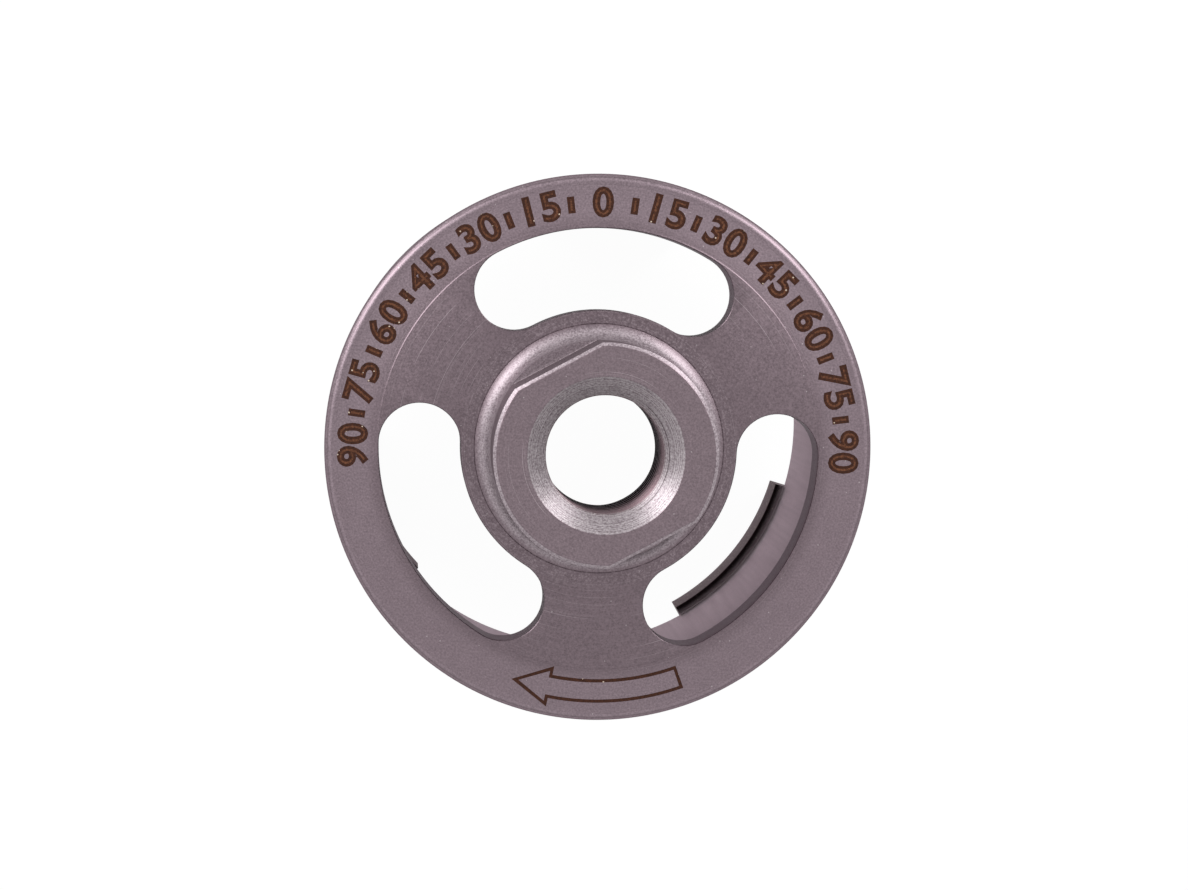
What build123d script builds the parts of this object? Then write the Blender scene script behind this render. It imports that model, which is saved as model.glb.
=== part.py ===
from build123d import *
import math
import os

# A short diamond core bit for drilling round sockets in masonry: a turned back flange with a
# threaded hub, a thin barrel welded under it, and diamond segments on the barrel's open end.
# Millimetres. The bit's axis is Z, the hub points up and the cutting edge stands on Z = 0.

# Whole bit: what it cuts, and its depth from the back face to the cutting edge
cut_diameter = 68.0
cut_depth = 70.0

# Barrel
barrel_wall = 2.5

# Diamond segments, thicker than the barrel's wall by a relief outside and inside
segment_count = 3
segment_height = 8.0
segment_outer_relief = 0.5
segment_inner_relief = 1.2
segment_span = 44.0
segment_phase = 323.0
segment_break = 0.25

# Back flange
flange_thickness = 6.0
rim_thickness = 3.0
rim_round = 0.9
spigot_clearance = 0.05

# Kidney windows, with the metal left beside the barrel's inner wall and beside the hub's foot
window_count = 3
window_rim_margin = 4.1
window_hub_margin = 1.95
window_sweep = 59.4
window_phase = 90.0

# Shallow step turned round the windows
face_step = 0.1
face_step_margin = 0.1

# Hub
hub_height = 15.2
hub_chamfer = 0.45
hub_cove = 1.6
hub_land_width = 0.25
hub_land_height = 0.1

# Spanner flats, milled into the round hub down to a shelf
flats_across = 24.0
flats_depth = 1.35
flats_shelf = 4.3
flats_corner = 0.35
flats_phase = 119.8

# Bore at the minor diameter of its thread, with a right-angled countersink at each end
bore_diameter = 14.1
top_countersink_depth = 2.25
bottom_countersink_depth = 3.2

# Heights and radii that follow from the sizes above
back_face = cut_depth
inner_face = back_face + face_step
hub_top = back_face + hub_height
flange_underside = back_face - flange_thickness
barrel_seat = back_face - rim_thickness
cut_radius = cut_diameter / 2
barrel_radius = cut_radius - segment_outer_relief
barrel_inner_radius = barrel_radius - barrel_wall
segment_inner_radius = barrel_inner_radius - segment_inner_relief
spigot_radius = barrel_inner_radius - spigot_clearance
hub_radius = flats_across / 2 + flats_depth
cove_foot_radius = hub_radius + hub_cove
bore_radius = bore_diameter / 2
window_outer_radius = barrel_inner_radius - window_rim_margin
window_inner_radius = cove_foot_radius + window_hub_margin


def quarter_arc(start, end, middle_r, middle_z):
    """Arc of a quarter circle about (middle_r, middle_z), from start to end."""
    radius = math.dist(start, (middle_r, middle_z))
    lean_r = math.copysign(radius * math.sqrt(0.5), start[0] + end[0] - 2 * middle_r)
    lean_z = math.copysign(radius * math.sqrt(0.5), start[1] + end[1] - 2 * middle_z)
    return ThreePointArc(start, (middle_r + lean_r, middle_z + lean_z), end)


def turned_blank():
    """The flange and hub as they leave the lathe, with the bore and both countersinks."""
    land_top = inner_face + hub_land_height
    land_radius = cove_foot_radius + hub_land_width
    cove_top = land_top + hub_cove
    step_radius = window_outer_radius + face_step_margin
    bore_top = hub_top - top_countersink_depth
    bore_bottom = flange_underside + bottom_countersink_depth

    rim_start = (barrel_radius, back_face - rim_round)
    rim_end = (barrel_radius - rim_round, back_face)
    below = Polyline(
        (bore_radius, bore_bottom),
        (bore_radius + bottom_countersink_depth, flange_underside),
        (spigot_radius, flange_underside),
        (spigot_radius, barrel_seat),
        (barrel_radius, barrel_seat),
        rim_start,
    )
    rim = quarter_arc(rim_start, rim_end, barrel_radius - rim_round, back_face - rim_round)
    face = Polyline(
        rim_end,
        (step_radius, back_face),
        (step_radius, inner_face),
        (land_radius, inner_face),
        (land_radius, land_top),
        (cove_foot_radius, land_top),
    )
    cove = quarter_arc(
        (cove_foot_radius, land_top), (hub_radius, cove_top), cove_foot_radius, cove_top
    )
    hub = Polyline(
        (hub_radius, cove_top),
        (hub_radius, hub_top),
        (bore_radius + top_countersink_depth, hub_top),
        (bore_radius, bore_top),
        (bore_radius, bore_bottom),
    )
    section = make_face([below, rim, face, cove, hub])
    return revolve(Plane.XZ * section, Axis.Z)


def spanner_cutters():
    """The two slabs of metal milled off the hub, each with the cutter's round corner at its foot."""
    shelf = back_face + flats_shelf
    rise = 2 * (hub_top - shelf)
    slab = Box(hub_radius, 4 * hub_radius, rise, align=(Align.MIN, Align.CENTER, Align.MIN))
    foot = slab.edges().filter_by(Axis.Y).group_by(Axis.Z)[0].sort_by(Axis.X)[0]
    slab = fillet(foot, flats_corner)
    slab = Pos(flats_across / 2, 0, shelf) * slab
    return [Rot(0, 0, flats_phase + turn) * slab for turn in (0, 180)]


def window_cutters():
    """One curved slot with round ends for each window, through the whole flange."""
    depth = flange_thickness + face_step
    middle_radius = (window_inner_radius + window_outer_radius) / 2
    path = CenterArc((0, 0), middle_radius, -window_sweep / 2, window_sweep)
    slot = extrude(SlotArc(path, window_outer_radius - window_inner_radius), depth)
    slot = Pos(0, 0, flange_underside) * slot
    pitch = 360 / window_count
    return [Rot(0, 0, window_phase + index * pitch) * slot for index in range(window_count)]


def back_flange():
    """Flange and hub in one piece, milled after turning."""
    flange = turned_blank() - spanner_cutters()
    crown = flange.faces().sort_by(Axis.Z)[-1]
    flange = chamfer(crown.outer_wire().edges(), hub_chamfer)
    return flange - window_cutters()


def barrel():
    """The tube, from the segments up to its seat under the flange's rim."""
    length = barrel_seat - segment_height
    ring = Circle(barrel_radius) - Circle(barrel_inner_radius)
    return Pos(0, 0, segment_height) * extrude(ring, length)


def diamond_segment(index):
    """One cutting segment: a sector of a ring, its two cutting edges slightly broken."""
    section = make_face(Polyline(
        (segment_inner_radius, segment_height),
        (segment_inner_radius, segment_break),
        (segment_inner_radius + segment_break, 0),
        (cut_radius - segment_break, 0),
        (cut_radius, segment_break),
        (cut_radius, segment_height),
        close=True,
    ))
    turn = segment_phase + segment_span / 2 + index * 360 / segment_count
    return Rot(0, 0, turn) * revolve(Plane.XZ * section, Axis.Z, -segment_span)


def write_part(name, solid):
    """Write one named piece, with a line about its size."""
    export_step(solid, os.path.join("parts", name + ".step"))
    print(name, "volume", round(solid.volume), "mm3")


os.makedirs("parts", exist_ok=True)
write_part("back_flange", back_flange())
write_part("barrel", barrel())
for index in range(segment_count):
    write_part(f"diamond_segment_{index + 1}", diamond_segment(index))
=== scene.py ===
import bmesh
import bpy
import math
from mathutils import Matrix, Vector


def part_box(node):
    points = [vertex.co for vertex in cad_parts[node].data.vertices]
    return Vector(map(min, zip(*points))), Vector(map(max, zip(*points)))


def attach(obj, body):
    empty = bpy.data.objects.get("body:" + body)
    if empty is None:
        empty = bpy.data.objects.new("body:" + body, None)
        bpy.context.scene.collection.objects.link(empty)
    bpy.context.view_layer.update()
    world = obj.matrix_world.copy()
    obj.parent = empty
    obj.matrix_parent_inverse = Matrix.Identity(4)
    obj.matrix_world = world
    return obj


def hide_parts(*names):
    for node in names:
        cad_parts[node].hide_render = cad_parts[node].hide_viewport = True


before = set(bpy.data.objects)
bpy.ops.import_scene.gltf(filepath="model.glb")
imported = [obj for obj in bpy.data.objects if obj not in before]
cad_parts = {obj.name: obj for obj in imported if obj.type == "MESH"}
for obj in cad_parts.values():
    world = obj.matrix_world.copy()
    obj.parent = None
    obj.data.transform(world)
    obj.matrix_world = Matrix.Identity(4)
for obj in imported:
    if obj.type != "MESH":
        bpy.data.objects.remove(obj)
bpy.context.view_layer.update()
mm = 0.001

# Heights and radii read from the frame, and the one radius that no box gives
flangeLow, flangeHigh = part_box("back_flange")
barrelLow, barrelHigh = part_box("barrel")
hubTop = flangeHigh.z
underside = flangeLow.z
barrelTop = barrelHigh.z
barrelFoot = barrelLow.z
barrelRadius = barrelHigh.x
barrelWall = 2.5 * mm
barrelInner = barrelRadius - barrelWall

# Camera: as the photograph was taken, from above the hub, leaning a few degrees
cameraView = {
    "lens": 104.09,
    "sensor": 36.0,
    "distance": 419.6 * mm,
    "leanRight": 0.0564,
    "leanDown": 0.0571,
    "roll": 2.0,
    "aimRight": 0.61 * mm,
    "aimDown": 0.42 * mm,
    "aimHeight": 70.0 * mm,
    "nearest": 10.0 * mm,
}


def placeCamera():
    up = Vector((cameraView["leanRight"], -cameraView["leanDown"], 1)).normalized()
    roll = math.radians(cameraView["roll"])
    across = Vector((math.cos(roll), -math.sin(roll), 0))
    across = (across - across.dot(up) * up).normalized()
    turn = Matrix((across, up.cross(across), up))      # rows: the part's axes in the camera's own
    aim = Vector((cameraView["aimRight"], -cameraView["aimDown"], -cameraView["distance"]))
    camera = bpy.data.objects.new("camera", bpy.data.cameras.new("camera"))
    camera.data.lens = cameraView["lens"]
    camera.data.sensor_width = cameraView["sensor"]
    camera.data.sensor_fit = "HORIZONTAL"
    camera.data.clip_start = cameraView["nearest"]
    camera.matrix_world = turn.to_4x4()
    camera.location = Vector((0, 0, cameraView["aimHeight"])) - turn @ aim
    bpy.context.scene.collection.objects.link(camera)
    bpy.context.scene.camera = camera


placeCamera()
print("camera placed")

# Fineness of the meshes: how many chords each round stretch gets
chords = {
    "wholeTurn": 240,
    "rim": 10,
    "cove": 12,
    "windowSweep": 40,
    "windowEnd": 28,
    "flatCorner": 5,
    "threadTurn": 72,
    "segment": 44,
    "braze": 4,
    "ledge": 3,
    "arrow": 24,
}
mergeDistance = 1e-7      # metres
sharpAngle = 28           # degrees: edges that turn more are shaded sharp


# Helpers for every piece
def takeMesh(bm, name):
    mesh = bpy.data.meshes.new(name)
    bm.to_mesh(mesh)
    bm.free()
    return mesh


def closeSkin(bm):
    bmesh.ops.remove_doubles(bm, verts=bm.verts, dist=mergeDistance)
    bmesh.ops.recalc_face_normals(bm, faces=bm.faces)


def pickVerts(parts):
    return [part for part in parts if isinstance(part, bmesh.types.BMVert)]


def inMetres(sizes):
    return {key: value * mm for key, value in sizes.items()}


def turnAbout(degrees):
    return Matrix.Rotation(math.radians(degrees), 3, "Z")


def finishPiece(mesh, name, material):
    piece = bpy.data.objects.new(name, mesh)
    bpy.context.scene.collection.objects.link(piece)
    mesh.materials.clear()
    mesh.materials.append(material)
    mesh.shade_smooth()
    mesh.set_sharp_from_angle(angle=math.radians(sharpAngle))
    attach(piece, "root")
    return piece


# A wire of points (r, z), closed or open, standing at one angle about the axis
def standWire(bm, points, degrees=0.0, closed=True):
    verts = [bm.verts.new((r, 0, z)) for r, z in points]
    first = 0 if closed else 1
    edges = [bm.edges.new((verts[i - 1], verts[i])) for i in range(first, len(verts))]
    bmesh.ops.rotate(bm, verts=verts, matrix=turnAbout(degrees))
    return verts + edges


def turnProfile(points):
    bm = bmesh.new()
    wire = standWire(bm, points)
    bmesh.ops.spin(bm, geom=wire, axis=(0, 0, 1), angle=2 * math.pi, steps=chords["wholeTurn"],
                   use_merge=True)
    closeSkin(bm)
    return bm


def arcPoints(middle, radius, fromAngle, toAngle, steps):
    points = []
    for index in range(steps + 1):
        angle = math.radians(fromAngle + (toAngle - fromAngle) * index / steps)
        points.append((middle[0] + radius * math.cos(angle), middle[1] + radius * math.sin(angle)))
    return points


# Back flange: turned, then milled and threaded. Millimetres, heights from the cutting edge
flangeSizes = {
    "backFace": 70.0,
    "edgeRound": 1.02,
    "ringRadius": 27.0,
    "step": 0.1,
    "stepWidth": 0.16,
    "cove": 2.5,
    "coveFoot": 15.2,
    "ridge": 0.035,
    "ridgeOut": 0.6,
    "ridgeTop": 0.14,
    "ridgeFlank": 0.08,
    "hubRadius": 13.35,
    "hubChamfer": 0.45,
    "hubChamferDrop": 0.3,
    "mouthDepth": 2.25,
    "footDepth": 3.2,
    "boreRadius": 7.05,
    "spigotGap": 0.05,
    "edgeBreak": 0.06,
    "toolLineDepth": 0.012,
    "toolLineHalf": 0.05,
}
toolLines = [32.38, 32.15]
stepShape = [(1.0, 0.0), (0.6, 0.3), (0.3, 0.8), (0.0, 1.0)]      # shares of the step's width and height
ringFace = flangeSizes["backFace"] * mm


def flangeProfile():
    s = inMetres(flangeSizes)
    back = s["backFace"]
    face = back + s["step"]
    foot = s["coveFoot"]
    coveMiddle = s["hubRadius"] + s["cove"]
    coveLean = math.asin((coveMiddle - foot) / s["cove"])
    coveTop = face + s["cove"] * math.cos(coveLean)
    cut = s["edgeBreak"]
    edge = s["edgeRound"]
    spigot = barrelInner - s["spigotGap"]
    mouth = s["boreRadius"] + s["mouthDepth"]
    points = [
        (s["boreRadius"], underside + s["footDepth"]),
        (s["boreRadius"] + s["footDepth"] - cut, underside + cut),
        (s["boreRadius"] + s["footDepth"] + cut, underside),
        (spigot - cut, underside),
        (spigot, underside + cut),
        (spigot, barrelTop),
        (barrelRadius - cut, barrelTop),
        (barrelRadius, barrelTop + cut),
    ]
    points += arcPoints((barrelRadius - edge, back - edge), edge, 0, 90, chords["rim"])
    half = s["toolLineHalf"]
    for line in toolLines:
        radius = line * mm
        points += [(radius + half, back), (radius, back - s["toolLineDepth"]), (radius - half, back)]
    for wide, high in stepShape:
        points.append((s["ringRadius"] + s["stepWidth"] * wide, back + s["step"] * high))
    points += [
        (foot + s["ridgeOut"], face),
        (foot + s["ridgeTop"], face + s["ridge"]),
        (foot + s["ridgeFlank"], face + s["ridge"]),
    ]
    points += arcPoints((coveMiddle, coveTop), s["cove"], 270 - math.degrees(coveLean), 180, chords["cove"])
    points += [
        (s["hubRadius"], hubTop - s["hubChamferDrop"]),
        (s["hubRadius"] - s["hubChamfer"], hubTop),
        (mouth + cut, hubTop),
        (mouth - cut, hubTop - 2 * cut),
        (s["boreRadius"], hubTop - s["mouthDepth"]),
    ]
    return points


windowSizes = {
    "innerRadius": 16.9,
    "outerRadius": 26.9,
    "edgeBreak": 0.08,
    "over": 1.0,
}
windowPlaces = [90.0, 210.0, 330.0]      # degrees about the axis, as all places below
windowSweep = 59.4                       # degrees between the middles of the round ends


# One kidney-shaped cutter: a section swept about the axis, with a turned end at each side
def windowCutter(phase):
    s = inMetres(windowSizes)
    half = (s["outerRadius"] - s["innerRadius"]) / 2
    middle = (s["outerRadius"] + s["innerRadius"]) / 2
    face = (flangeSizes["backFace"] + flangeSizes["step"]) * mm
    flare = s["edgeBreak"]
    over = s["over"]
    section = [
        (half + over, underside - over),
        (half + flare, underside - flare),
        (half, underside + flare),
        (half, face - flare),
        (half + flare + over, face + over),
    ]
    outer = [(middle + wide, z) for wide, z in section]
    inner = [(middle - wide, z) for wide, z in reversed(section)]
    end = [(middle, section[0][1])] + outer + [(middle, section[-1][1])]
    bm = bmesh.new()
    wire = standWire(bm, outer + inner, phase - windowSweep / 2)
    bmesh.ops.spin(bm, geom=wire, axis=(0, 0, 1), angle=math.radians(windowSweep),
                   steps=chords["windowSweep"])
    for side in (-1, 1):
        degrees = phase + side * windowSweep / 2
        centre = turnAbout(degrees) @ Vector((middle, 0, 0))
        wire = standWire(bm, end, degrees, closed=False)
        bmesh.ops.spin(bm, geom=wire, cent=centre, axis=(0, 0, 1), angle=side * math.pi,
                       steps=chords["windowEnd"])
    closeSkin(bm)
    return takeMesh(bm, "windowCutter")


flatSizes = {
    "acrossHalf": 12.0,
    "shelf": 74.3,
    "corner": 0.1,
    "chamfer": 0.4,
    "chamferDrop": 0.28,
    "over": 2.0,
    "reach": 4.0,
    "halfLength": 20.0,
}
flatPlaces = [119.8, 299.8]


# The metal milled off one side of the hub, with the chamfer along the flat's top edge
def flatCutter(phase):
    s = inMetres(flatSizes)
    near = s["acrossHalf"]
    shelf = s["shelf"]
    corner = s["corner"]
    section = arcPoints((near + corner, shelf + corner), corner, 270, 180, chords["flatCorner"])
    section += [
        (near, hubTop - s["chamferDrop"]),
        (near - s["chamfer"] - s["over"], hubTop + s["over"] * s["chamferDrop"] / s["chamfer"]),
        (near + s["reach"], hubTop + s["over"]),
        (near + s["reach"], shelf),
    ]
    bm = bmesh.new()
    slab = bm.faces.new([bm.verts.new((x, -s["halfLength"], z)) for x, z in section])
    grown = bmesh.ops.extrude_face_region(bm, geom=[slab], use_keep_orig=True)
    bmesh.ops.translate(bm, verts=pickVerts(grown["geom"]), vec=(0, 2 * s["halfLength"], 0))
    bmesh.ops.rotate(bm, verts=bm.verts, matrix=turnAbout(phase))
    closeSkin(bm)
    return takeMesh(bm, "flatCutter")


threadSizes = {
    "majorRadius": 8.0,
    "pitch": 2.0,
    "rootHalf": 0.125,
    "insideStep": 0.45,
    "top": 82.3,
    "foot": 62.0,
}
threadFlank = 30          # degrees from square to the axis
threadEnd = 20.0          # degrees: where the full groove stops, at the top
threadRunOut = 45.0       # degrees: how much further it tapers away


# The groove of the thread: a V section wound down the bore from its end at the countersink
def threadCutter():
    s = inMetres(threadSizes)
    inside = flangeSizes["boreRadius"] * mm - s["insideStep"]
    mouthHalf = s["rootHalf"] + (s["majorRadius"] - inside) * math.tan(math.radians(threadFlank))
    turns = math.ceil((s["top"] - s["foot"]) / s["pitch"])
    section = [
        (inside, s["top"] - mouthHalf),
        (s["majorRadius"], s["top"] - s["rootHalf"]),
        (s["majorRadius"], s["top"] + s["rootHalf"]),
        (inside, s["top"] + mouthHalf),
    ]
    bm = bmesh.new()
    wire = standWire(bm, section, threadEnd)
    cap = bmesh.ops.contextual_create(bm, geom=wire)["faces"]
    tip = bmesh.ops.extrude_face_region(bm, geom=cap, use_keep_orig=False)
    tipPlace = Vector((inside, 0, s["top"] + s["pitch"] * threadRunOut / 360))
    bmesh.ops.pointmerge(bm, verts=pickVerts(tip["geom"]),
                         merge_co=turnAbout(threadEnd + threadRunOut) @ tipPlace)
    steps = chords["threadTurn"]
    wound = bmesh.ops.spin(bm, geom=wire, axis=(0, 0, 1), angle=-turns * 2 * math.pi,
                           steps=turns * steps, dvec=(0, 0, -s["pitch"] / steps))
    bmesh.ops.contextual_create(bm, geom=wound["geom_last"])
    closeSkin(bm)
    return takeMesh(bm, "threadCutter")


def cutAway(mesh, cutters):
    body = bpy.data.objects.new("body", mesh)
    bpy.context.scene.collection.objects.link(body)
    tools = []
    for index, cutter in enumerate(cutters):
        tool = bpy.data.objects.new(f"tool{index}", cutter)
        bpy.context.scene.collection.objects.link(tool)
        tools.append(tool)
        cut = body.modifiers.new(tool.name, "BOOLEAN")
        cut.operation = "DIFFERENCE"
        cut.solver = "EXACT"
        cut.object = tool
    bpy.context.view_layer.update()
    graph = bpy.context.evaluated_depsgraph_get()
    result = bpy.data.meshes.new_from_object(body.evaluated_get(graph))
    for item in [body] + tools:
        bpy.data.objects.remove(item)
    return result


def buildFlange(material):
    blank = takeMesh(turnProfile(flangeProfile()), "back_flange_turned")
    cutters = [windowCutter(phase) for phase in windowPlaces]
    cutters += [flatCutter(phase) for phase in flatPlaces]
    cutters.append(threadCutter())
    piece = finishPiece(cutAway(blank, cutters), "back_flange_turned", material)
    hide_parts("back_flange")


barrelSizes = {
    "edgeBreak": 0.12,
    "weldGroove": 0.12,
}


def buildBarrel(material):
    s = inMetres(barrelSizes)
    cut = s["edgeBreak"]
    groove = s["weldGroove"]
    section = [
        (barrelInner, barrelFoot + cut),
        (barrelInner + cut, barrelFoot),
        (barrelRadius - cut, barrelFoot),
        (barrelRadius, barrelFoot + cut),
        (barrelRadius, barrelTop - groove),
        (barrelRadius - groove, barrelTop),
        (barrelInner, barrelTop),
    ]
    mesh = takeMesh(turnProfile(section), "barrel_tube")
    piece = finishPiece(mesh, "barrel_tube", material)
    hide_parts("barrel")


segmentSizes = {
    "innerRadius": 29.8,
    "outerRadius": 34.0,
    "cuttingBreak": 0.25,
    "brazeInside": 0.6,
    "brazeOutside": 0.25,
    "endBreak": 0.12,
    "ledgeBreak": 0.15,
    "longEdge": 0.7,      # edges at the ends longer than this are broken
}
segmentPlaces = [323.0, 83.0, 203.0]
segmentSpan = 44.0


# A sector of a ring with its edges broken, and the braze that fills its corners with the barrel
def buildSegment(number, phase, material):
    s = inMetres(segmentSizes)
    top = barrelFoot
    cutting = s["cuttingBreak"]
    ledge = s["ledgeBreak"]
    inside = s["brazeInside"]
    outside = s["brazeOutside"]
    section = [
        (s["innerRadius"], cutting),
        (s["innerRadius"] + cutting, 0),
        (s["outerRadius"] - cutting, 0),
        (s["outerRadius"], cutting),
        (s["outerRadius"], top - ledge),
        (s["outerRadius"] - ledge, top),
    ]
    section += arcPoints((barrelRadius + outside, top + outside), outside, 270, 180, chords["ledge"])
    section += [(barrelRadius, top), (barrelInner, top)]
    section += arcPoints((barrelInner - inside, top + inside), inside, 0, -90, chords["braze"])
    section += arcPoints((s["innerRadius"] + ledge, top - ledge), ledge, 90, 180, chords["ledge"])
    bm = bmesh.new()
    wire = standWire(bm, section, phase - segmentSpan / 2)
    bmesh.ops.spin(bm, geom=wire, axis=(0, 0, 1), angle=math.radians(segmentSpan), steps=chords["segment"])
    ends = bmesh.ops.holes_fill(bm, edges=[edge for edge in bm.edges if edge.is_boundary])
    endEdges = {edge for face in ends["faces"] for edge in face.edges}
    endEdges = [edge for edge in endEdges if edge.calc_length() > s["longEdge"]]
    closeSkin(bm)
    bmesh.ops.bevel(bm, geom=endEdges, offset=s["endBreak"], offset_type="OFFSET", segments=2,
                    profile=0.5, affect="EDGES", clamp_overlap=True, material=-1)
    name = f"diamond_segment_{number}_sintered"
    piece = finishPiece(takeMesh(bm, name), name, material)
    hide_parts(f"diamond_segment_{number}")


# Laser marks on the outer ring: degrees either way from the top, and an arrow the way the bit turns.
# Each has a dark edge layer, grown a little from its outline, and a lighter, smaller fill layer on it
scaleSizes = {
    "middle": 29.85,
    "numberHeight": 4.75,
    "dash": 1.6,
    "dashWidth": 0.45,
    "edgeGrow": 0.22,
    "fillGrow": -0.1,
    "edgeThick": 0.012,
    "fillThick": 0.02,
}
figureStyle = {
    "widen": 1.04,
    "spacing": 1.12,
    "curveSteps": 4,
}
scaleMiddle = 91.0      # where the scale reads 0
scaleStep = 15
scaleStepsEachWay = 6


# The shape of some figures, flat, standing on the back face at one angle
def figureMesh(words, degrees, grow, thick):
    s = inMetres(scaleSizes)
    curve = bpy.data.curves.new("figures", "FONT")
    curve.body = words
    curve.size = s["numberHeight"]
    curve.align_x = "CENTER"
    curve.align_y = "CENTER"
    curve.space_character = figureStyle["spacing"]
    curve.resolution_u = figureStyle["curveSteps"]
    curve.offset = grow
    curve.extrude = thick / 2
    holder = bpy.data.objects.new("figures", curve)
    mesh = bpy.data.meshes.new_from_object(holder)
    bpy.data.objects.remove(holder)
    place = Matrix.Translation((0, s["middle"], ringFace + thick / 2))
    widen = Matrix.Diagonal((figureStyle["widen"], 1, 1, 1))
    mesh.transform(turnAbout(degrees - 90).to_4x4() @ place @ widen)
    return mesh


# A short dash along the radius
def addDash(bm, degrees, grow, thick):
    s = inMetres(scaleSizes)
    size = Matrix.Diagonal((s["dash"] + 2 * grow, s["dashWidth"] + 2 * grow, thick, 1))
    place = Matrix.Translation((s["middle"], 0, ringFace + thick / 2))
    bmesh.ops.create_cube(bm, size=1.0, matrix=turnAbout(degrees).to_4x4() @ place @ size)


def buildScale(layer, material):
    s = inMetres(scaleSizes)
    grow = s[layer + "Grow"]
    thick = s[layer + "Thick"]
    bm = bmesh.new()
    for step in range(-scaleStepsEachWay, scaleStepsEachWay + 1):
        number = step * scaleStep
        mesh = figureMesh(str(abs(number)), scaleMiddle + number, grow, thick)
        bm.from_mesh(mesh)
        bpy.data.meshes.remove(mesh)
        if step < scaleStepsEachWay:
            addDash(bm, scaleMiddle + number + scaleStep / 2, grow, thick)
    closeSkin(bm)
    name = f"scale_marks_{layer}"
    finishPiece(takeMesh(bm, name), name, material)


arrowSizes = {
    "middle": 29.8,
    "width": 2.5,
    "headHalf": 2.2,
    "headLength": 4.2,
    "edgeGrow": 0.2,
    "fillGrow": -0.2,
    "edgeThick": 0.012,
    "fillThick": 0.02,
}
arrowTail = 291.0
arrowNeck = 260.0


# A bent shaft spun from its tail to its neck, with a straight-sided head
def buildArrow(layer, material):
    s = inMetres(arrowSizes)
    grow = s[layer + "Grow"]
    middle = s["middle"]
    half = s["width"] / 2 + grow
    slope = s["headHalf"] / s["headLength"]
    reach = s["headLength"] + grow / math.sin(math.atan(slope))      # from the neck to the tip
    wide = (reach + grow) * slope
    tail = arrowTail + math.degrees(grow / middle)
    neck = arrowNeck + math.degrees(grow / middle)
    bm = bmesh.new()
    wire = standWire(bm, [(middle - half, ringFace), (middle + half, ringFace)], tail, closed=False)
    shaft = bmesh.ops.spin(bm, geom=wire, axis=(0, 0, 1), angle=math.radians(neck - tail),
                           steps=chords["arrow"])
    ends = pickVerts(shaft["geom_last"])
    ends.sort(key=lambda vert: vert.co.length)
    corners = [
        bm.verts.new((middle - wide, 0, ringFace)),
        bm.verts.new((middle, -reach - grow, ringFace)),
        bm.verts.new((middle + wide, 0, ringFace)),
    ]
    bmesh.ops.rotate(bm, verts=corners, matrix=turnAbout(neck))
    bm.faces.new([ends[0]] + corners + [ends[1]])
    bmesh.ops.recalc_face_normals(bm, faces=bm.faces)
    grown = bmesh.ops.extrude_face_region(bm, geom=bm.faces[:], use_keep_orig=True)
    bmesh.ops.translate(bm, verts=pickVerts(grown["geom"]), vec=(0, 0, s[layer + "Thick"]))
    closeSkin(bm)
    name = f"turn_arrow_{layer}"
    finishPiece(takeMesh(bm, name), name, material)


# Shader helpers: a value may be a plain number or colour, or another node's output
def feed(tree, socket, value):
    if isinstance(value, bpy.types.NodeSocket):
        tree.links.new(value, socket)
    else:
        socket.default_value = value


# Values named as a socket go to it, and the others are settings of the node
def addNode(tree, kind, **values):
    node = tree.nodes.new(kind)
    for key, value in values.items():
        if key in node.inputs:
            feed(tree, node.inputs[key], value)
        else:
            setattr(node, key, value)
    return node


def addMath(tree, operation, *values):
    node = addNode(tree, "ShaderNodeMath", operation=operation)
    for socket, value in zip(node.inputs, values):
        feed(tree, socket, value)
    return node.outputs[0]


def times(tree, first, second):
    return addMath(tree, "MULTIPLY", first, second)


# Some of the first value and the rest of the second
def weigh(tree, first, second, share):
    return addMath(tree, "ADD", times(tree, first, share), times(tree, second, 1 - share))


# Take a share off a value where the mask is 1
def weaken(tree, value, mask, share):
    return times(tree, value, addMath(tree, "SUBTRACT", 1.0, times(tree, mask, share)))


def mapRange(tree, value, fromLow, fromHigh, toLow=0.0, toHigh=1.0, kind="LINEAR"):
    node = addNode(tree, "ShaderNodeMapRange", interpolation_type=kind, Value=value)
    node.inputs["From Min"].default_value = fromLow
    node.inputs["From Max"].default_value = fromHigh
    node.inputs["To Min"].default_value = toLow
    node.inputs["To Max"].default_value = toHigh
    return node.outputs[0]


# 0 at one number and 1 at the other, whichever is higher, and smooth between
def softStep(tree, value, zero, one):
    return mapRange(tree, value, zero, one, kind="SMOOTHSTEP")


def addNoise(tree, vector, scale, detail, roughness):
    noise = addNode(tree, "ShaderNodeTexNoise", Vector=vector, Scale=scale, Detail=detail,
                    Roughness=roughness)
    return noise.outputs["Fac"]


# A group that takes a Vector and some numbers, with the sockets inside it for both ends
def newGroup(name, numbers, outputs):
    group = bpy.data.node_groups.new(name, "ShaderNodeTree")
    group.interface.new_socket("Vector", in_out="INPUT", socket_type="NodeSocketVector")
    for label, value in numbers.items():
        socket = group.interface.new_socket(label, in_out="INPUT", socket_type="NodeSocketFloat")
        socket.default_value = value
    for label in outputs:
        group.interface.new_socket(label, in_out="OUTPUT", socket_type="NodeSocketFloat")
    given = group.nodes.new("NodeGroupInput").outputs
    wanted = group.nodes.new("NodeGroupOutput").inputs
    return group, given, wanted


def callGroup(tree, group, vector, **values):
    return addNode(tree, "ShaderNodeGroup", node_tree=group, Vector=vector, **values).outputs


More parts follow.
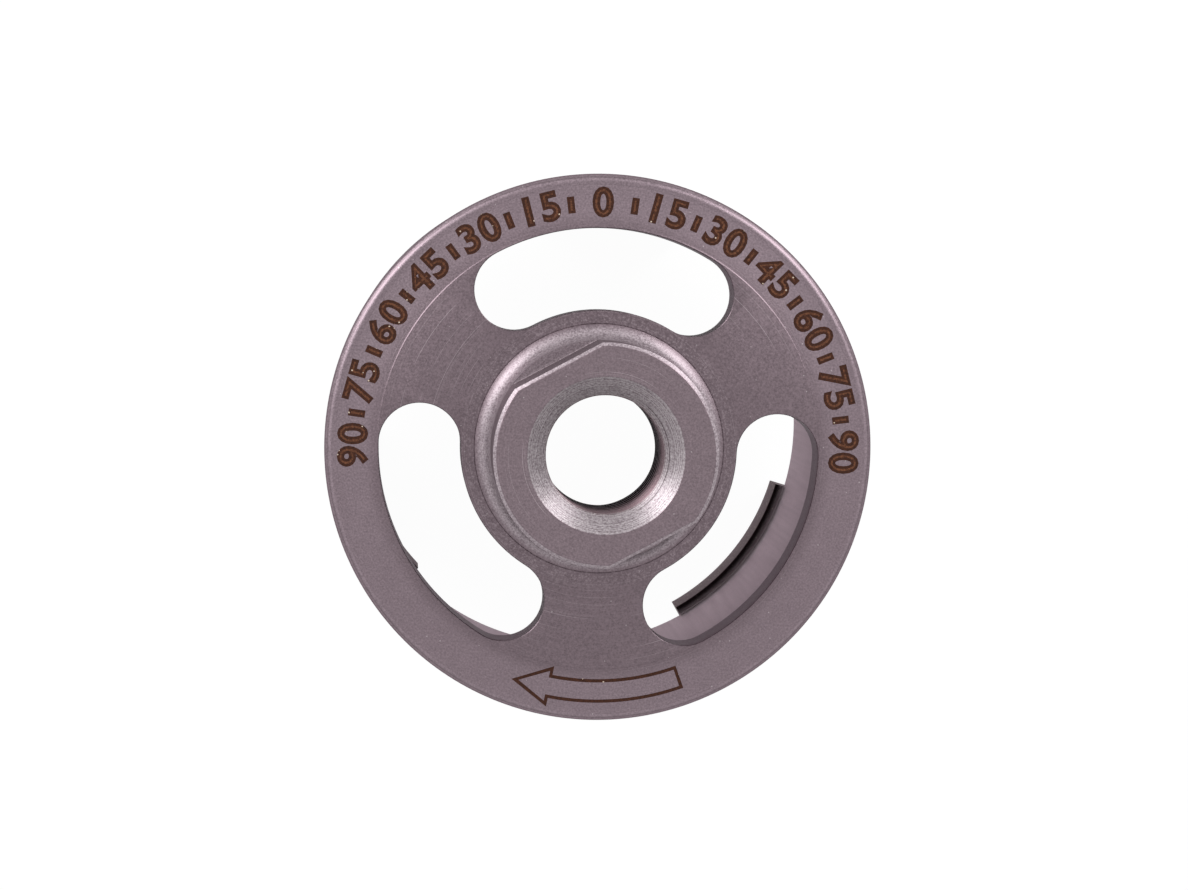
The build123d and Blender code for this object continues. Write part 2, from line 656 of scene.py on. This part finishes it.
# Distance from the bit's axis, height above the cutting edge and way to the right, in millimetres
def makePlace():
    group, given, wanted = newGroup("placeOnBit", {}, ["Radius", "Height", "Right"])
    x, y, z = addNode(group, "ShaderNodeSeparateXYZ", Vector=given["Vector"]).outputs
    square = addMath(group, "ADD", times(group, x, x), times(group, y, y))
    feed(group, wanted["Radius"], times(group, addMath(group, "SQRT", square), 1 / mm))
    feed(group, wanted["Height"], times(group, z, 1 / mm))
    feed(group, wanted["Right"], times(group, x, 1 / mm))
    return group


grainLook = {
    "detail": 2.0,
    "fineRoughness": 0.7,
    "fineShare": 0.88,
    "coarseRoughness": 0.5,
    "coarseScale": 0.12,      # of the fine grain's
}


# Fine speckle of a blasted surface: one size of grain on a cloudier one
def makeGrain():
    look = grainLook
    group, given, wanted = newGroup("blastedGrain", {"Fineness": 4000.0}, ["Value"])
    vector, fineness = given["Vector"], given["Fineness"]
    fine = addNoise(group, vector, fineness, look["detail"], look["fineRoughness"])
    coarse = addNoise(group, vector, times(group, fineness, look["coarseScale"]),
                      look["detail"], look["coarseRoughness"])
    feed(group, wanted["Value"], weigh(group, fine, coarse, look["fineShare"]))
    return group


ringLook = {
    "detail": 4.0,
    "roughness": 0.65,
    "downWalls": 0.73,      # how fast the marks follow each other down a wall
}


# Turning marks: noise over the radius alone, running down walls by their height
def makeRings():
    look = ringLook
    group, given, wanted = newGroup("turningMarks", {"Fineness": 6.0}, ["Value"])
    place = callGroup(group, placeGroup, given["Vector"])
    along = addMath(group, "ADD", place["Radius"], times(group, place["Height"], look["downWalls"]))
    lines = addNode(group, "ShaderNodeTexNoise", noise_dimensions="1D",
                    W=times(group, along, given["Fineness"]),
                    Scale=1.0, Detail=look["detail"], Roughness=look["roughness"])
    feed(group, wanted["Value"], lines.outputs["Fac"])
    return group


# Bright nicks from handling: a point here and there
def makeNicks():
    group, given, wanted = newGroup("handlingNicks", {"Spacing": 700.0, "Size": 0.07}, ["Value"])
    cells = addNode(group, "ShaderNodeTexVoronoi", Vector=given["Vector"], Scale=given["Spacing"])
    near = addMath(group, "LESS_THAN", cells.outputs["Distance"], given["Size"])
    feed(group, wanted["Value"], near)
    return group


scratchLook = {
    "lines": (0.64, 0.7),
    "patches": (0.5, 0.62),
    "patchScale": 90.0,
    "patchDetail": 1.0,
    "patchRoughness": 0.5,
}


# Thin arcs left by the tool, each running only part of the way round
def makeScratches():
    look = scratchLook
    group, given, wanted = newGroup("turningScratches", {"Fineness": 7.0}, ["Value"])
    rings = callGroup(group, ringGroup, given["Vector"], Fineness=given["Fineness"])["Value"]
    patches = addNoise(group, given["Vector"], look["patchScale"], look["patchDetail"],
                       look["patchRoughness"])
    lines = softStep(group, rings, *look["lines"])
    feed(group, wanted["Value"], times(group, lines, softStep(group, patches, *look["patches"])))
    return group


placeGroup = makePlace()
grainGroup = makeGrain()
ringGroup = makeRings()
nickGroup = makeNicks()
scratchGroup = makeScratches()


# Dark to light as a value passes one half, within the spread to each side
def makeRamp(tree, value, dark, light, spread):
    ramp = addNode(tree, "ShaderNodeValToRGB", Fac=value)
    low, high = ramp.color_ramp.elements
    low.position = 0.5 - spread
    low.color = (*dark, 1)
    high.position = 0.5 + spread
    high.color = (*light, 1)
    return ramp.outputs["Color"]


# Lay a tint over a colour where the mask is 1: multiply for shade, mix for paint
def layOver(tree, colour, mask, tint, blend="MULTIPLY"):
    mix = addNode(tree, "ShaderNodeMix", data_type="RGBA", blend_type=blend, Factor=mask)
    feed(tree, mix.inputs[6], colour)
    feed(tree, mix.inputs[7], (*tint, 1) if isinstance(tint, tuple) else tint)
    return mix.outputs[2]


# One mask for each zone: 1 where every distance from placeOnBit is past its limit, softly
def makeMasks(tree, place, zones):
    masks = {}
    for name, limits in zones.items():
        steps = [softStep(tree, place[distance], zero, one) for distance, zero, one in limits]
        masks[name] = steps[0]
        for step in steps[1:]:
            masks[name] = times(tree, masks[name], step)
    return masks


def newMaterial(name, metallic, edge):
    material = bpy.data.materials.new(name)
    material.use_nodes = True
    tree = material.node_tree
    shader = tree.nodes["Principled BSDF"]
    shader.inputs["Metallic"].default_value = metallic
    shader.inputs["Specular Tint"].default_value = (*edge, 1)
    coords = tree.nodes.new("ShaderNodeTexCoord")
    return material, tree, shader, coords.outputs["Object"]


grainSpan = (0.3, 0.7)      # most of what the noises give


# Join a colour, a grain for the roughness and a height for the relief to the shader
def finishSurface(tree, shader, colour, grain, relief, look):
    feed(tree, shader.inputs["Base Color"], colour)
    rough = mapRange(tree, grain, *grainSpan, look["roughLow"], look["roughHigh"])
    feed(tree, shader.inputs["Roughness"], rough)
    bump = addNode(tree, "ShaderNodeBump", Strength=look["bump"], Distance=look["bumpDepth"] * mm,
                   Height=relief)
    feed(tree, shader.inputs["Normal"], bump.outputs["Normal"])


# The steel of flange and barrel
steelLook = {
    "dark": (0.155, 0.12, 0.1355),
    "light": (0.262, 0.203, 0.229),
    "edge": (0.4, 0.34, 0.37),
    "grain": 4200.0,
}

flangeLook = {
    "spread": 0.16,
    "rings": 9.0,           # fineness of the marks over the faces
    "ringShare": 0.2,
    "nick": (0.38, 0.33, 0.35),
    "nickSpacing": 600.0,
    "nickSize": 0.05,
    "scratch": (0.42, 0.36, 0.385),
    "scratchFineness": 7.0,
    "scratchStrength": 0.6,
    "turned": 6.0,          # fineness of the marks at the hub's foot and in the countersink
    "turnedShare": 0.5,
    "footLines": (0.5, 0.6),
    "footStrength": 0.3,
    # The sides' own look is painted light in a lighter colour, with duller metal
    "uprightLoss": 0.6,     # how much less of the side's own look the hub's wall has than the cove
    "flatLoss": 0.62,       # and the flats than the crown
    "sideSpread": 0.14,
    "sideDull": 0.55,
    "mouthSpread": 0.1,
    "mouthDull": 0.3,
    "roughLow": 0.32,
    "roughHigh": 0.46,
    "bump": 0.4,
    "bumpDepth": 0.03,
    "turnedRelief": 0.2,
    "mouthRelief": 1.6,
    "boreSmooth": 0.85,
}

# Colours of the sides and the countersink, and tints that the rest is multiplied by
flangeShades = {
    "innerFace": (0.795, 0.785, 0.785),
    "hubTop": (1.16, 1.17, 1.16),
    # The next two tints paint a shade line and a highlight line along the rim's edge
    "rimPaintedShade": (0.84, 0.84, 0.84),
    "rimPaintedHighlight": (1.15, 1.16, 1.16),
    # Painted light: the outer part of the rim's round made lighter
    "rimRoundPaintedLight": (1.12, 1.14, 1.13),
    "mouthDark": (0.2, 0.16, 0.178),
    "mouthLight": (0.56, 0.51, 0.53),
    # A painted shadow line on the right side of the bore, where the thread runs out under the countersink
    "runOutPaintedShadow": (0.4, 0.37, 0.38),
    # The sides' colours are lighter than the steel: painted light on the cove, the hub's wall and the flats
    "sideDark": (0.22, 0.177, 0.197),
    "sideLight": (0.465, 0.4, 0.43),
    # Painted shade: the window walls and the flange's underside darkened
    "wall": (0.5, 0.48, 0.5),
    # Painted shade: black down the bore
    "borePaintedShade": (0.02, 0.016, 0.016),
    "boreBrown": (0.95, 0.86, 0.84),
}

# Where each shade lies: distances in millimetres where its mask is 0 and where it is 1
flangeZones = {
    "innerFace": [("Radius", 29.0, 27.0)],
    # The window walls and the underside, darkened by painted shade
    "wall": [("Height", 69.95, 69.8), ("Radius", 32.2, 31.8)],
    # Where the painted shade line and the painted highlight line on the rim lie
    "rimPaintedShade": [("Radius", 32.98, 33.04), ("Radius", 33.18, 33.12)],
    "rimPaintedHighlight": [("Radius", 32.6, 32.75), ("Radius", 33.0, 32.95)],
    # The outer part of the rim's round, where painted light lightens it
    "rimRoundPaintedLight": [("Radius", 33.1, 33.3)],
    "hubFoot": [("Radius", 17.8, 16.0), ("Radius", 15.1, 15.3)],
    "hubTop": [("Height", 85.15, 85.19)],
    "belowTop": [("Height", 85.18, 85.12)],
    "cove": [("Radius", 15.25, 14.2), ("Radius", 13.2, 13.3), ("Height", 70.0, 70.15)],
    "upright": [("Height", 72.8, 74.0), ("Height", 84.9, 84.8)],
    "flats": [("Radius", 13.4, 13.3), ("Radius", 11.5, 11.8), ("Height", 74.2, 74.25)],
    "belowCrown": [("Height", 84.85, 84.75)],
    "mouth": [("Radius", 9.35, 9.3), ("Height", 82.5, 83.0)],
    # Where the painted shadow line of the thread's run-out lies, on the right side only
    "runOutPaintedShadow": [("Radius", 7.5, 7.56), ("Radius", 7.66, 7.6), ("Height", 82.5, 83.0), ("Right", 3.0, 5.5)],
    "boreBrown": [("Radius", 8.3, 8.05), ("Height", 83.3, 82.6)],
    # Where the painted shade down the bore lies
    "borePaintedShade": [("Radius", 8.3, 8.05), ("Height", 80.5, 71.0)],
}


# The plated faces: speckle and turning marks, nicks, arcs from the tool, and lines at the hub's foot
def faceColour(tree, vector, masks, grain, turned):
    look = flangeLook
    rings = callGroup(tree, ringGroup, vector, Fineness=look["rings"])["Value"]
    speckle = weigh(tree, rings, grain, look["ringShare"])
    colour = makeRamp(tree, speckle, steelLook["dark"], steelLook["light"], look["spread"])
    nicks = callGroup(tree, nickGroup, vector, Spacing=look["nickSpacing"], Size=look["nickSize"])
    colour = layOver(tree, colour, nicks["Value"], look["nick"], "MIX")
    colour = layOver(tree, colour, masks["innerFace"], flangeShades["innerFace"])
    arcs = callGroup(tree, scratchGroup, vector, Fineness=look["scratchFineness"])["Value"]
    arcs = times(tree, times(tree, arcs, masks["innerFace"]), look["scratchStrength"])
    colour = layOver(tree, colour, arcs, look["scratch"], "MIX")
    # Painted shade on the walls below the face, painted shade and highlight lines and painted light on the
    # rim, and the hub top's lighter finish
    for name in ("wall", "rimPaintedShade", "rimPaintedHighlight", "rimRoundPaintedLight", "hubTop"):
        colour = layOver(tree, colour, masks[name], flangeShades[name])
    lines = times(tree, masks["hubFoot"], softStep(tree, turned, *look["footLines"]))
    return layOver(tree, colour, times(tree, lines, look["footStrength"]), look["scratch"], "MIX")


# How much of the hub's cove, wall and flats gets painted light in a lighter colour, and a duller, more
# scattering metal
def sideMask(tree, masks):
    cove = weaken(tree, masks["cove"], masks["upright"], flangeLook["uprightLoss"])
    flats = weaken(tree, masks["flats"], masks["belowCrown"], flangeLook["flatLoss"])
    return times(tree, addMath(tree, "MAXIMUM", cove, flats), masks["belowTop"])


# Blasted and plated steel: painted light on the cove and the hub's sides, brighter in the countersink,
# painted shade black down the bore
def flangeMaterial():
    look = flangeLook
    shades = flangeShades
    material, tree, shader, vector = newMaterial("turned flange steel", 1.0, steelLook["edge"])
    masks = makeMasks(tree, callGroup(tree, placeGroup, vector), flangeZones)
    grain = callGroup(tree, grainGroup, vector, Fineness=steelLook["grain"])["Value"]
    turned = callGroup(tree, ringGroup, vector, Fineness=look["turned"])["Value"]
    turned = weigh(tree, turned, grain, look["turnedShare"])
    colour = faceColour(tree, vector, masks, grain, turned)
    # Painted light: the hub's cove, wall and flats in a lighter colour
    side = sideMask(tree, masks)
    sidePaintedLightColour = makeRamp(tree, grain, shades["sideDark"], shades["sideLight"], look["sideSpread"])
    colour = layOver(tree, colour, side, sidePaintedLightColour, "MIX")
    mouth = masks["mouth"]
    mouthColour = makeRamp(tree, turned, shades["mouthDark"], shades["mouthLight"], look["mouthSpread"])
    colour = layOver(tree, colour, mouth, mouthColour, "MIX")
    # A painted shadow line where the thread runs out on the right, the thread's own brown, and painted
    # shade down the bore
    for name in ("runOutPaintedShadow", "boreBrown", "borePaintedShade"):
        colour = layOver(tree, colour, masks[name], shades[name])
    metal = weaken(tree, weaken(tree, 1.0, side, look["sideDull"]), mouth, look["mouthDull"])
    feed(tree, shader.inputs["Metallic"], metal)
    lines = addMath(tree, "ADD", times(tree, mouth, look["mouthRelief"]), look["turnedRelief"])
    relief = addMath(tree, "ADD", grain, times(tree, turned, lines))
    relief = weaken(tree, relief, masks["boreBrown"], look["boreSmooth"])
    finishSurface(tree, shader, colour, grain, relief, look)
    return material


# Where the darkening round the joint centres and fades: painted shade of the corner, with heat tint
jointShadeAndHeat = {
    "radius": 29.95,
    "height": 8.0,
    "clear": 0.75,
    "dark": 0.1,
}


# Darker round the joint between barrel and segments, by distance from it: painted shade of the corner, with
# heat tint
def heatMask(tree, place):
    away = addMath(tree, "SUBTRACT", place["Radius"], jointShadeAndHeat["radius"])
    up = addMath(tree, "SUBTRACT", place["Height"], jointShadeAndHeat["height"])
    square = addMath(tree, "ADD", times(tree, away, away), times(tree, up, up))
    return softStep(tree, addMath(tree, "SQRT", square), jointShadeAndHeat["clear"], jointShadeAndHeat["dark"])


barrelLook = {
    "spread": 0.2,
    "lines": 1600.0,
    "lineDetail": 4.0,
    "lineRoughness": 0.6,
    "lineStretch": (1, 1, 0.03),
    "lineShare": 0.4,
    "roughLow": 0.38,
    "roughHigh": 0.52,
    "bump": 0.2,
    "bumpDepth": 0.015,
}

barrelShades = {
    # Painted light: the inside of the tube made much lighter; the next tint is painted shade there towards
    # the flange
    "inside": (2.4, 2.6, 2.5),
    "shade": (0.8, 0.8, 0.8),
    "outside": (0.96, 1.06, 1.01),
    # Darker round the joint: painted shade with heat tint
    "shadeAndHeat": (0.12, 0.1, 0.1),
}

barrelZones = {
    # Where the painted light inside and the painted shade towards the flange lie
    "inside": [("Radius", 31.6, 31.2)],
    "shade": [("Radius", 31.6, 31.2), ("Height", 15.0, 45.0)],
    "outside": [("Radius", 33.2, 33.4)],
}


# Drawn tube: lengthwise lines, painted light inside and painted shade there towards the flange, darker
# round the segments by painted shade with heat tint
def barrelMaterial():
    look = barrelLook
    material, tree, shader, vector = newMaterial("drawn barrel steel", 1.0, steelLook["edge"])
    place = callGroup(tree, placeGroup, vector)
    masks = makeMasks(tree, place, barrelZones)
    stretched = addNode(tree, "ShaderNodeMapping", Vector=vector, Scale=look["lineStretch"]).outputs[0]
    lines = addNoise(tree, stretched, look["lines"], look["lineDetail"], look["lineRoughness"])
    grain = callGroup(tree, grainGroup, vector, Fineness=steelLook["grain"])["Value"]
    grain = weigh(tree, lines, grain, look["lineShare"])
    colour = makeRamp(tree, grain, steelLook["dark"], steelLook["light"], look["spread"])
    # Painted light inside the tube, painted shade towards the flange, and the outside's own tint
    for name, mask in masks.items():
        colour = layOver(tree, colour, mask, barrelShades[name])
    # Darker round the joint with the segments: painted shade of the corner, with heat tint
    colour = layOver(tree, colour, heatMask(tree, place), barrelShades["shadeAndHeat"])
    finishSurface(tree, shader, colour, grain, grain, look)
    return material


segmentLook = {
    "dark": (0.11, 0.09, 0.095),
    "light": (0.27, 0.225, 0.235),
    "spread": 0.18,
    "edge": (0.42, 0.38, 0.4),
    "grain": 2600.0,
    "grit": (0.4, 0.38, 0.33),
    "gritSpacing": 1500.0,
    "gritSize": 0.2,
    # Darker round the joint: painted shade with heat tint
    "shadeAndHeat": (0.12, 0.095, 0.1),
    "braze": (0.42, 0.35, 0.38),
    "roughLow": 0.42,
    "roughHigh": 0.62,
    "bump": 0.5,
    "bumpDepth": 0.05,
}

segmentZones = {
    "braze": [("Radius", 30.2, 30.7), ("Height", 7.95, 8.1)],
}


# Sintered metal with diamond grit: at its top darker round the joint, painted shade with heat tint, and the
# braze's own lighter colour
def segmentMaterial():
    look = segmentLook
    material, tree, shader, vector = newMaterial("sintered diamond metal", 1.0, look["edge"])
    place = callGroup(tree, placeGroup, vector)
    braze = makeMasks(tree, place, segmentZones)["braze"]
    grain = callGroup(tree, grainGroup, vector, Fineness=look["grain"])["Value"]
    colour = makeRamp(tree, grain, look["dark"], look["light"], look["spread"])
    grit = callGroup(tree, nickGroup, vector, Spacing=look["gritSpacing"], Size=look["gritSize"])["Value"]
    colour = layOver(tree, colour, grit, look["grit"], "MIX")
    # Darker round the joint with the barrel: painted shade of the corner, with heat tint
    colour = layOver(tree, colour, heatMask(tree, place), look["shadeAndHeat"])
    colour = layOver(tree, colour, braze, look["braze"], "MIX")
    relief = weaken(tree, addMath(tree, "ADD", grain, grit), braze, 1.0)
    finishSurface(tree, shader, colour, grain, relief, look)
    return material


markLook = {
    "edgeDark": (0.026, 0.008, 0.004),
    "edgeLight": (0.062, 0.02, 0.01),
    "fillDark": (0.055, 0.018, 0.009),
    "fillLight": (0.17, 0.068, 0.034),
    "spread": 0.12,
    "metallic": 0.1,
    "specular": 0.2,
    "grain": 3200.0,
    "pit": (0.62, 0.5, 0.4),
    "pitSpacing": 900.0,
    "pitSize": 0.09,
    "roughLow": 0.5,
    "roughHigh": 0.7,
    "bump": 0.4,
    "bumpDepth": 0.03,
}


# Steel browned by a laser, with a few bright pits
def markMaterial(layer):
    look = markLook
    material, tree, shader, vector = newMaterial(f"laser brown {layer}", look["metallic"], (1, 1, 1))
    shader.inputs["Specular IOR Level"].default_value = look["specular"]
    grain = callGroup(tree, grainGroup, vector, Fineness=look["grain"])["Value"]
    colour = makeRamp(tree, grain, look[layer + "Dark"], look[layer + "Light"], look["spread"])
    pits = callGroup(tree, nickGroup, vector, Spacing=look["pitSpacing"], Size=look["pitSize"])["Value"]
    colour = layOver(tree, colour, pits, look["pit"], "MIX")
    finishSurface(tree, shader, colour, grain, grain, look)
    return material


flangeSteel = flangeMaterial()
buildFlange(flangeSteel)
print("flange turned, milled and threaded")

buildBarrel(barrelMaterial())
segmentMetal = segmentMaterial()
for index, phase in enumerate(segmentPlaces):
    buildSegment(index + 1, phase, segmentMetal)
print("barrel and segments made")

markEdge = markMaterial("edge")
markFill = markMaterial("fill")
buildScale("edge", markEdge)
buildScale("fill", markFill)
buildArrow("edge", markEdge)
buildArrow("fill", flangeSteel)
print("ring marked")

# Floor, light and background
studio = {
    "floorSize": 3.0,
    "paper": (0.8, 0.8, 0.8, 1),
    "paperGlow": 0.97,
    "shadowPaper": (0.06, 0.06, 0.06, 1),
    "white": (1, 1, 1, 1),
    "worldLight": 0.45,
    "lampAim": (0, 0, 0.07),
}

softboxes = {
    "key": {"power": 4.4, "size": (0.34, 0.62), "place": (-0.558, 0.406, 0.395)},
    "side": {"power": 3.5, "size": (0.28, 0.62), "place": (0.496, 0.479, 0.4)},
}


# 1 for the camera and in reflections, where floor and background show white
def seenWhite(tree):
    path = tree.nodes.new("ShaderNodeLightPath")
    seen = addMath(tree, "MAXIMUM", path.outputs["Is Camera Ray"], path.outputs["Is Glossy Ray"])
    return addMath(tree, "MAXIMUM", seen, path.outputs["Is Transmission Ray"])


def makeFloor():
    bm = bmesh.new()
    bmesh.ops.create_grid(bm, x_segments=1, y_segments=1, size=studio["floorSize"] / 2)
    floor = bpy.data.objects.new("floor", takeMesh(bm, "floor"))
    bpy.context.scene.collection.objects.link(floor)
    material = bpy.data.materials.new("white paper")
    material.use_nodes = True
    tree = material.node_tree
    tree.nodes.clear()
    out = tree.nodes.new("ShaderNodeOutputMaterial")
    paper = addNode(tree, "ShaderNodeBsdfDiffuse", Color=studio["paper"])
    glow = addNode(tree, "ShaderNodeEmission", Color=studio["white"], Strength=studio["paperGlow"])
    thin = addNode(tree, "ShaderNodeBsdfDiffuse", Color=studio["shadowPaper"])
    lit = tree.nodes.new("ShaderNodeAddShader")
    feed(tree, lit.inputs[0], glow.outputs[0])
    feed(tree, lit.inputs[1], thin.outputs[0])
    mix = tree.nodes.new("ShaderNodeMixShader")
    feed(tree, mix.inputs[0], seenWhite(tree))
    feed(tree, mix.inputs[1], paper.outputs[0])
    feed(tree, mix.inputs[2], lit.outputs[0])
    feed(tree, out.inputs[0], mix.outputs[0])
    floor.data.materials.append(material)


def makeWorld():
    world = bpy.data.worlds.new("studio")
    bpy.context.scene.world = world
    world.use_nodes = True
    tree = world.node_tree
    back = tree.nodes["Background"]
    level = mapRange(tree, seenWhite(tree), 0.0, 1.0, studio["worldLight"], 1.0)
    feed(tree, back.inputs["Strength"], level)
    back.inputs["Color"].default_value = studio["white"]


def addSoftbox(name, power, size, place):
    lamp = bpy.data.lights.new(name, "AREA")
    lamp.shape = "RECTANGLE"
    lamp.size, lamp.size_y = size
    lamp.energy = power
    box = bpy.data.objects.new(name, lamp)
    box.location = place
    box.rotation_euler = (Vector(studio["lampAim"]) - Vector(place)).to_track_quat("-Z", "Y").to_euler()
    bpy.context.scene.collection.objects.link(box)


makeFloor()
makeWorld()
for name, values in softboxes.items():
    addSoftbox(name, **values)
bpy.context.scene.view_settings.view_transform = "Standard"
print("studio ready")
